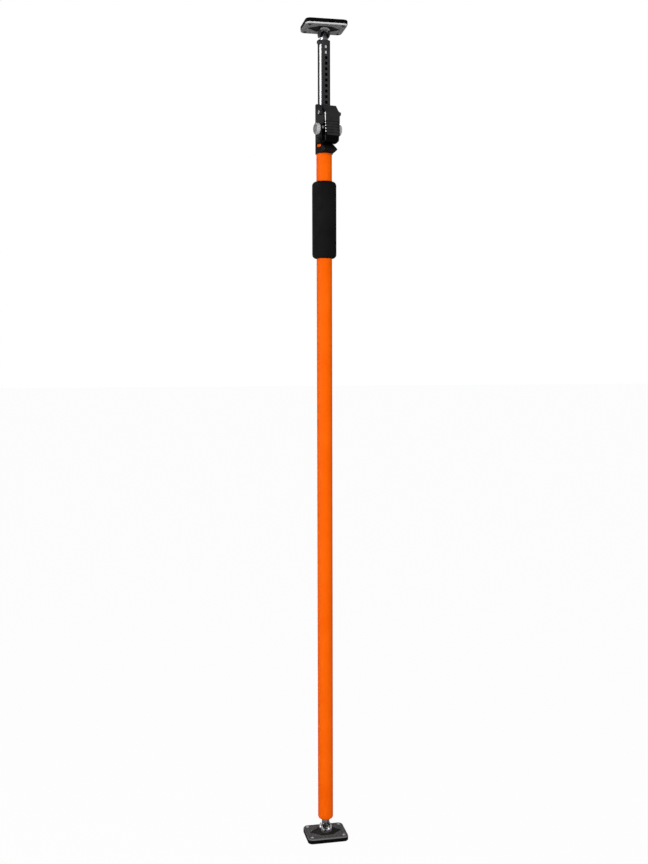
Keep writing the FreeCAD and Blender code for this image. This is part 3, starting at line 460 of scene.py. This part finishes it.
zinc = start_finish("grey_zinc", (0.17, 0.17, 0.175), 0.26, metallic=1.0, edge=0.2)
plated(zinc, 160, (0.13, 0.13, 0.135), (0.21, 0.21, 0.215), 0.2, 0.36)
dress(zinc, "lift_pawl_pin", "release_shaft", "foot_stem")
dull_zinc = start_finish("dull_zinc", (0.38, 0.38, 0.385), 0.45, specular=0.012, edge=0.6)
plated(dull_zinc, 220, (0.33, 0.33, 0.335), (0.42, 0.42, 0.425), 0.38, 0.55)
dress(dull_zinc, "foot_rivets")
bright_zinc = start_finish("bright_zinc", (0.4, 0.4, 0.41), 0.28, metallic=1.0, edge=0.7)
plated(bright_zinc, 160, (0.34, 0.34, 0.35), (0.46, 0.46, 0.47), 0.22, 0.36)
dress(bright_zinc, "lever_stop_pin", "foot_bracket", "foot_pivot_pin")
print("grey, dull and bright zinc")

# %% [markdown]
# The upper swivel wears two tones on each piece. Its stem is painted brighter inside the tube's mouth than
# above it, as painted light, so that it shows pale through the top slots where the tube shades it. Its strap
# is almost black up to the web under the plate and pale above it. Each could be cut in two, but a mask made
# from the height keeps it whole, as it is on the object.

# %% Upper stem and strap
MOUTH_DEPTH, WEB_DROP = 0.0005, 0.0045
stem_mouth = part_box("inner_tube")[1].z - MOUTH_DEPTH
strap_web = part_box("head_plate")[0].z - WEB_DROP
stem = start_finish("upper_stem_zinc", (0.13, 0.13, 0.135), 0.3, metallic=1.0, edge=0.3)
stem_shade = plated(stem, 160, (0.1, 0.1, 0.105), (0.16, 0.16, 0.165), 0.24, 0.36)
# painted light: the stem inside the tube's mouth is coloured brighter than above it
overlay(stem, stem_shade, reckon(stem, "LESS_THAN", axes_of(stem)[2], stem_mouth), (0.5, 0.5, 0.51))
dress(stem, "head_stem")
strap = start_finish("upper_strap_two_tone", (0.03, 0.03, 0.031), 0.5, specular=0.03, edge=0.5)
strap_shade = plated(strap, 200, (0.022, 0.022, 0.023), (0.04, 0.04, 0.041), 0.42, 0.58)
overlay(strap, strap_shade, reckon(strap, "GREATER_THAN", axes_of(strap)[2], strap_web), (0.3, 0.3, 0.305))
dress(strap, "head_bracket", "head_pivot_pin")
print("stem bright below", round(stem_mouth, 4), "m, strap pale above", round(strap_web, 4), "m")

# %% [markdown]
# The knobs are turned and satin. Their rim is painted brighter, partly a polished rim and partly a painted
# highlight for the light it catches, and a band against the cheek is painted dark, as painted shade. Rings
# of faces could carry other materials, but masks need no faces to match: the rim is a distance from the
# knob's axis, and the band a distance along it.

# %% Turned knobs
KNOB_REACH, KNOB_HEIGHT, KNOB_RIM, KNOB_SHADE_BAND = 0.0207, 1.484, 0.0104, 0.0213
turned = start_finish("turned_knob", (0.19, 0.19, 0.195), 0.4, specular=0.012, edge=0.6)
knob_shade = tint(turned, noise_on(turned, 220), (0.15, 0.148, 0.16), (0.22, 0.217, 0.23))
across, along, height = axes_of(turned)
outward = reckon(turned, "SUBTRACT", reckon(turned, "MULTIPLY", across, PIN_LINE[1]),
                 reckon(turned, "MULTIPLY", along, PIN_LINE[0]))
forth = reckon(turned, "SUBTRACT", outward, KNOB_REACH)
rise = reckon(turned, "SUBTRACT", height, KNOB_HEIGHT)
off_axis = reckon(turned, "SQRT", reckon(turned, "ADD", reckon(turned, "MULTIPLY", forth, forth),
                                         reckon(turned, "MULTIPLY", rise, rise)))
# partly painted highlight: the rim is coloured brighter than the face
on_rim = reckon(turned, "GREATER_THAN", off_axis, KNOB_RIM)
knob_shade = overlay(turned, knob_shade, on_rim, (0.44, 0.44, 0.45))
# painted shade: the band next to the cheek is coloured dark
shaded_by_cheek = reckon(turned, "LESS_THAN", reckon(turned, "ABSOLUTE", sideways_of(turned)), KNOB_SHADE_BAND)
overlay(turned, knob_shade, shaded_by_cheek, (0.012, 0.012, 0.012))
gloss(turned, noise_on(turned, 900), 0.28, 0.46)
relief(turned, noise_on(turned, 2500, detail=2), 0.1, 0.0001)
dress(turned, "release_knob_near", "release_knob_far")
print("knobs polished beyond", 1000 * KNOB_RIM, "mm from their axis")

# %% [markdown]
# Two more materials hide in the tubes and the head: plain hardened steel for the pawls and their leaf
# springs, and moulded nylon for the bush and the guide. They show in glimpses at most, so noise in colour,
# gloss and relief is all they need.

# %% Hardened steel and nylon
hard_steel = start_finish("hardened_steel", (0.16, 0.16, 0.165), 0.34, metallic=1.0, edge=0.5)
tint(hard_steel, noise_on(hard_steel, 200), (0.12, 0.12, 0.125), (0.2, 0.2, 0.205))
gloss(hard_steel, noise_on(hard_steel, 600), 0.26, 0.44)
relief(hard_steel, noise_on(hard_steel, 2000, detail=2), 0.08, 0.0001)
dress(hard_steel, "lift_pawl", "lift_pawl_spring", "holding_pawl", "holding_pawl_spring")
nylon = start_finish("black_nylon", (0.02, 0.02, 0.02), 0.5, specular=0.2)
tint(nylon, noise_on(nylon, 150), (0.015, 0.015, 0.015), (0.028, 0.028, 0.028))
gloss(nylon, noise_on(nylon, 400), 0.42, 0.6)
relief(nylon, noise_on(nylon, 1500), 0.1, 0.0001)
dress(nylon, "tube_bush", "inner_guide")
print("hardened steel and nylon inside")

# %% [markdown]
# The end plates wear a grey coat with a coarse grain that shows as a mottled surface. Both plates wear the
# same coat, but the head plate's is given paler shades, as painted light from below. In the pressed hollow
# under each strap the colour is almost black. The cut rim is bare metal, and on the lever's side it is
# painted bright, a painted highlight where the light catches it. Both places are masks worked out from the
# plate's own coordinates: a six-sided hollow, and the distance to a rectangle with rounded corners.

# %% Grey plates
PLATE_CORNER, RIM_DEPTH = 0.01, 0.0008
HOLLOW_TIP, HOLLOW_HALF, HOLLOW_SLOPE = 0.0356, 0.02, 1.18
plate_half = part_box("head_plate")[1].xy


def plate_coat(name, dark, light, rim_colour, hollow_colour):
    """Mottled coat with a dark hollow in its middle and a rim painted bright on the lever's side, a painted
    highlight.
    """
    finish = start_finish(name, light, 0.42, specular=0.004, edge=0.4)
    coat = tint(finish, noise_on(finish, 260, detail=5), dark, light)
    gloss(finish, noise_on(finish, 420), 0.32, 0.55)
    relief(finish, noise_on(finish, 800, detail=4), 0.3, 0.0003)
    across = [reckon(finish, "ABSOLUTE", value) for value in axes_of(finish)[:2]]
    reach = reckon(finish, "ADD", across[0], reckon(finish, "MULTIPLY", across[1], HOLLOW_SLOPE))
    inside_tips = reckon(finish, "LESS_THAN", reach, HOLLOW_TIP)
    inside_flats = reckon(finish, "LESS_THAN", across[1], HOLLOW_HALF)
    hollow = reckon(finish, "MULTIPLY", inside_tips, inside_flats)
    coat = overlay(finish, coat, hollow, hollow_colour)
    past = [reckon(finish, "MAXIMUM", reckon(finish, "SUBTRACT", value, half - PLATE_CORNER), 0.0)
            for value, half in zip(across, plate_half)]
    squares = [reckon(finish, "MULTIPLY", value, value) for value in past]
    distance = reckon(finish, "SQRT", reckon(finish, "ADD", squares[0], squares[1]))
    rim = reckon(finish, "GREATER_THAN", distance, PLATE_CORNER - RIM_DEPTH)
    # painted highlight: the rim is coloured bright only on the lever's side
    rim_highlight_side = reckon(finish, "LESS_THAN", axes_of(finish)[1], PLATE_CORNER - plate_half.y)
    overlay(finish, coat, reckon(finish, "MULTIPLY", rim, rim_highlight_side), rim_colour)
    return finish


# painted light: the head plate gets paler shades of the same coat as the foot plate
dress(plate_coat("lit_plate_coat", (0.14, 0.14, 0.143), (0.3, 0.3, 0.305), (0.62, 0.62, 0.62),
                 (0.008, 0.008, 0.008)), "head_plate")
dress(plate_coat("grey_plate_coat", (0.05, 0.05, 0.051), (0.14, 0.14, 0.142), (0.16, 0.16, 0.16),
                 (0.02, 0.019, 0.018)), "foot_plate")
print("plates", [round(2000 * half, 1) for half in plate_half], "mm")

# %% [markdown]
# ## Soft pieces
# The hand grip is a sleeve of closed-cell foam pushed over the tube. A half profile is drawn once and spun
# about the tube, which is how such a round sleeve is easiest to shape; its ends are rounded by the bevel
# operator before the spin.

# %% Foam grip
GRIP_EASE, GRIP_ROUND, GRIP_STEPS = 0.0001, 0.0085, 72


def finished_piece(name, form, body, finish):
    """Turn a bmesh into an object at the origin that rides on a body."""
    mesh = bpy.data.meshes.new(name)
    form.to_mesh(mesh)
    form.free()
    mesh.polygons.foreach_set("use_smooth", [True] * len(mesh.polygons))
    piece = bpy.data.objects.new(name, mesh)
    bpy.context.collection.objects.link(piece)
    mesh.materials.append(finish)
    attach(piece, body)
    return piece


foam = start_finish("closed_cell_foam", (0.008, 0.008, 0.008), 0.85, specular=0.01, edge=0.4)
tint(foam, noise_on(foam, 30), (0.0065, 0.0065, 0.0065), (0.0095, 0.0095, 0.0095))
gloss(foam, noise_on(foam, 500), 0.75, 0.95)
relief(foam, noise_on(foam, 1600, detail=5), 0.35, 0.0004)

grip_low, grip_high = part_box("foam_grip")
grip_outer, grip_inner = grip_high.x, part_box("outer_tube")[1].x + GRIP_EASE
form = bmesh.new()
profile = [(grip_inner, grip_low.z), (grip_outer, grip_low.z),
           (grip_outer, grip_high.z), (grip_inner, grip_high.z)]
corners = [form.verts.new((radius, 0, height)) for radius, height in profile]
for index in range(4):
    form.edges.new((corners[index], corners[(index + 1) % 4]))
bmesh.ops.bevel(form, geom=corners[1:3], affect="VERTICES", offset=GRIP_ROUND, segments=8, profile=0.5,
                material=-1)
bmesh.ops.spin(form, geom=form.verts[:] + form.edges[:], cent=(0, 0, 0), axis=(0, 0, 1), angle=2 * math.pi,
               steps=GRIP_STEPS, use_merge=True)
bmesh.ops.remove_doubles(form, verts=form.verts[:], dist=SAME_POINT)
bmesh.ops.recalc_face_normals(form, faces=form.faces[:])
grip = finished_piece("foam_sleeve", form, "frame", foam)
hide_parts("foam_grip")
print("foam sleeve", round(2000 * grip_outer, 1), "mm across,", len(grip.data.polygons), "faces")

# %% [markdown]
# The rubber pads are moulded with a rounded rim and one shallow sunk panel in the face that grips floor or
# ceiling. A cube is scaled to the pad, its upright edges and then its rim are bevelled, and the panel comes
# from insetting the outer face twice, the second time with a depth.

# %% Rubber pads
PAD_CORNER, PAD_RIM = 0.0105, 0.0016
PANEL_MARGIN, PANEL_DEPTH = 0.006, 0.0012
rubber = start_finish("moulded_rubber", (0.003, 0.003, 0.003), 0.62, specular=0.006)
tint(rubber, noise_on(rubber, 90), (0.002, 0.002, 0.002), (0.0045, 0.0045, 0.0045))
gloss(rubber, noise_on(rubber, 300), 0.52, 0.72)
relief(rubber, noise_on(rubber, 1400, detail=4), 0.25, 0.0003)


def rubber_pad(name, node_name, body, grip_side):
    """A moulded pad inside the box of its CAD solid; grip_side is -1 under the foot and 1 on the head."""
    low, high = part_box(node_name)
    size, middle = high - low, (high + low) / 2
    form = bmesh.new()
    bmesh.ops.create_cube(form, size=1, matrix=Matrix.Translation(middle) @ Matrix.Diagonal((*size, 1)))
    uprights = [edge for edge in form.edges if abs(edge.verts[0].co.z - edge.verts[1].co.z) > 0.5 * size.z]
    bmesh.ops.bevel(form, geom=uprights, affect="EDGES", offset=PAD_CORNER, segments=8, profile=0.5,
                    material=-1)
    outer = middle.z + grip_side * size.z / 2
    rim = [edge for edge in form.edges
           if all(abs(vert.co.z - outer) < SAME_POINT for vert in edge.verts)]
    bmesh.ops.bevel(form, geom=rim, affect="EDGES", offset=PAD_RIM, segments=4, profile=0.5, material=-1)
    face = max(form.faces, key=lambda item: item.calc_area() * (item.normal.z * grip_side > 0.9))
    bmesh.ops.inset_region(form, faces=[face], thickness=PANEL_MARGIN, depth=0)
    bmesh.ops.inset_region(form, faces=[face], thickness=PANEL_DEPTH, depth=-PANEL_DEPTH)
    bmesh.ops.recalc_face_normals(form, faces=form.faces[:])
    pad = finished_piece(name, form, body, rubber)
    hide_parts(node_name)
    return pad


pads = [rubber_pad("foot_rubber", "foot_pad", "foot_swivel", -1),
        rubber_pad("head_rubber", "head_pad", "head_swivel", 1)]
print("rubber pads with", [len(pad.data.polygons) for pad in pads], "faces")
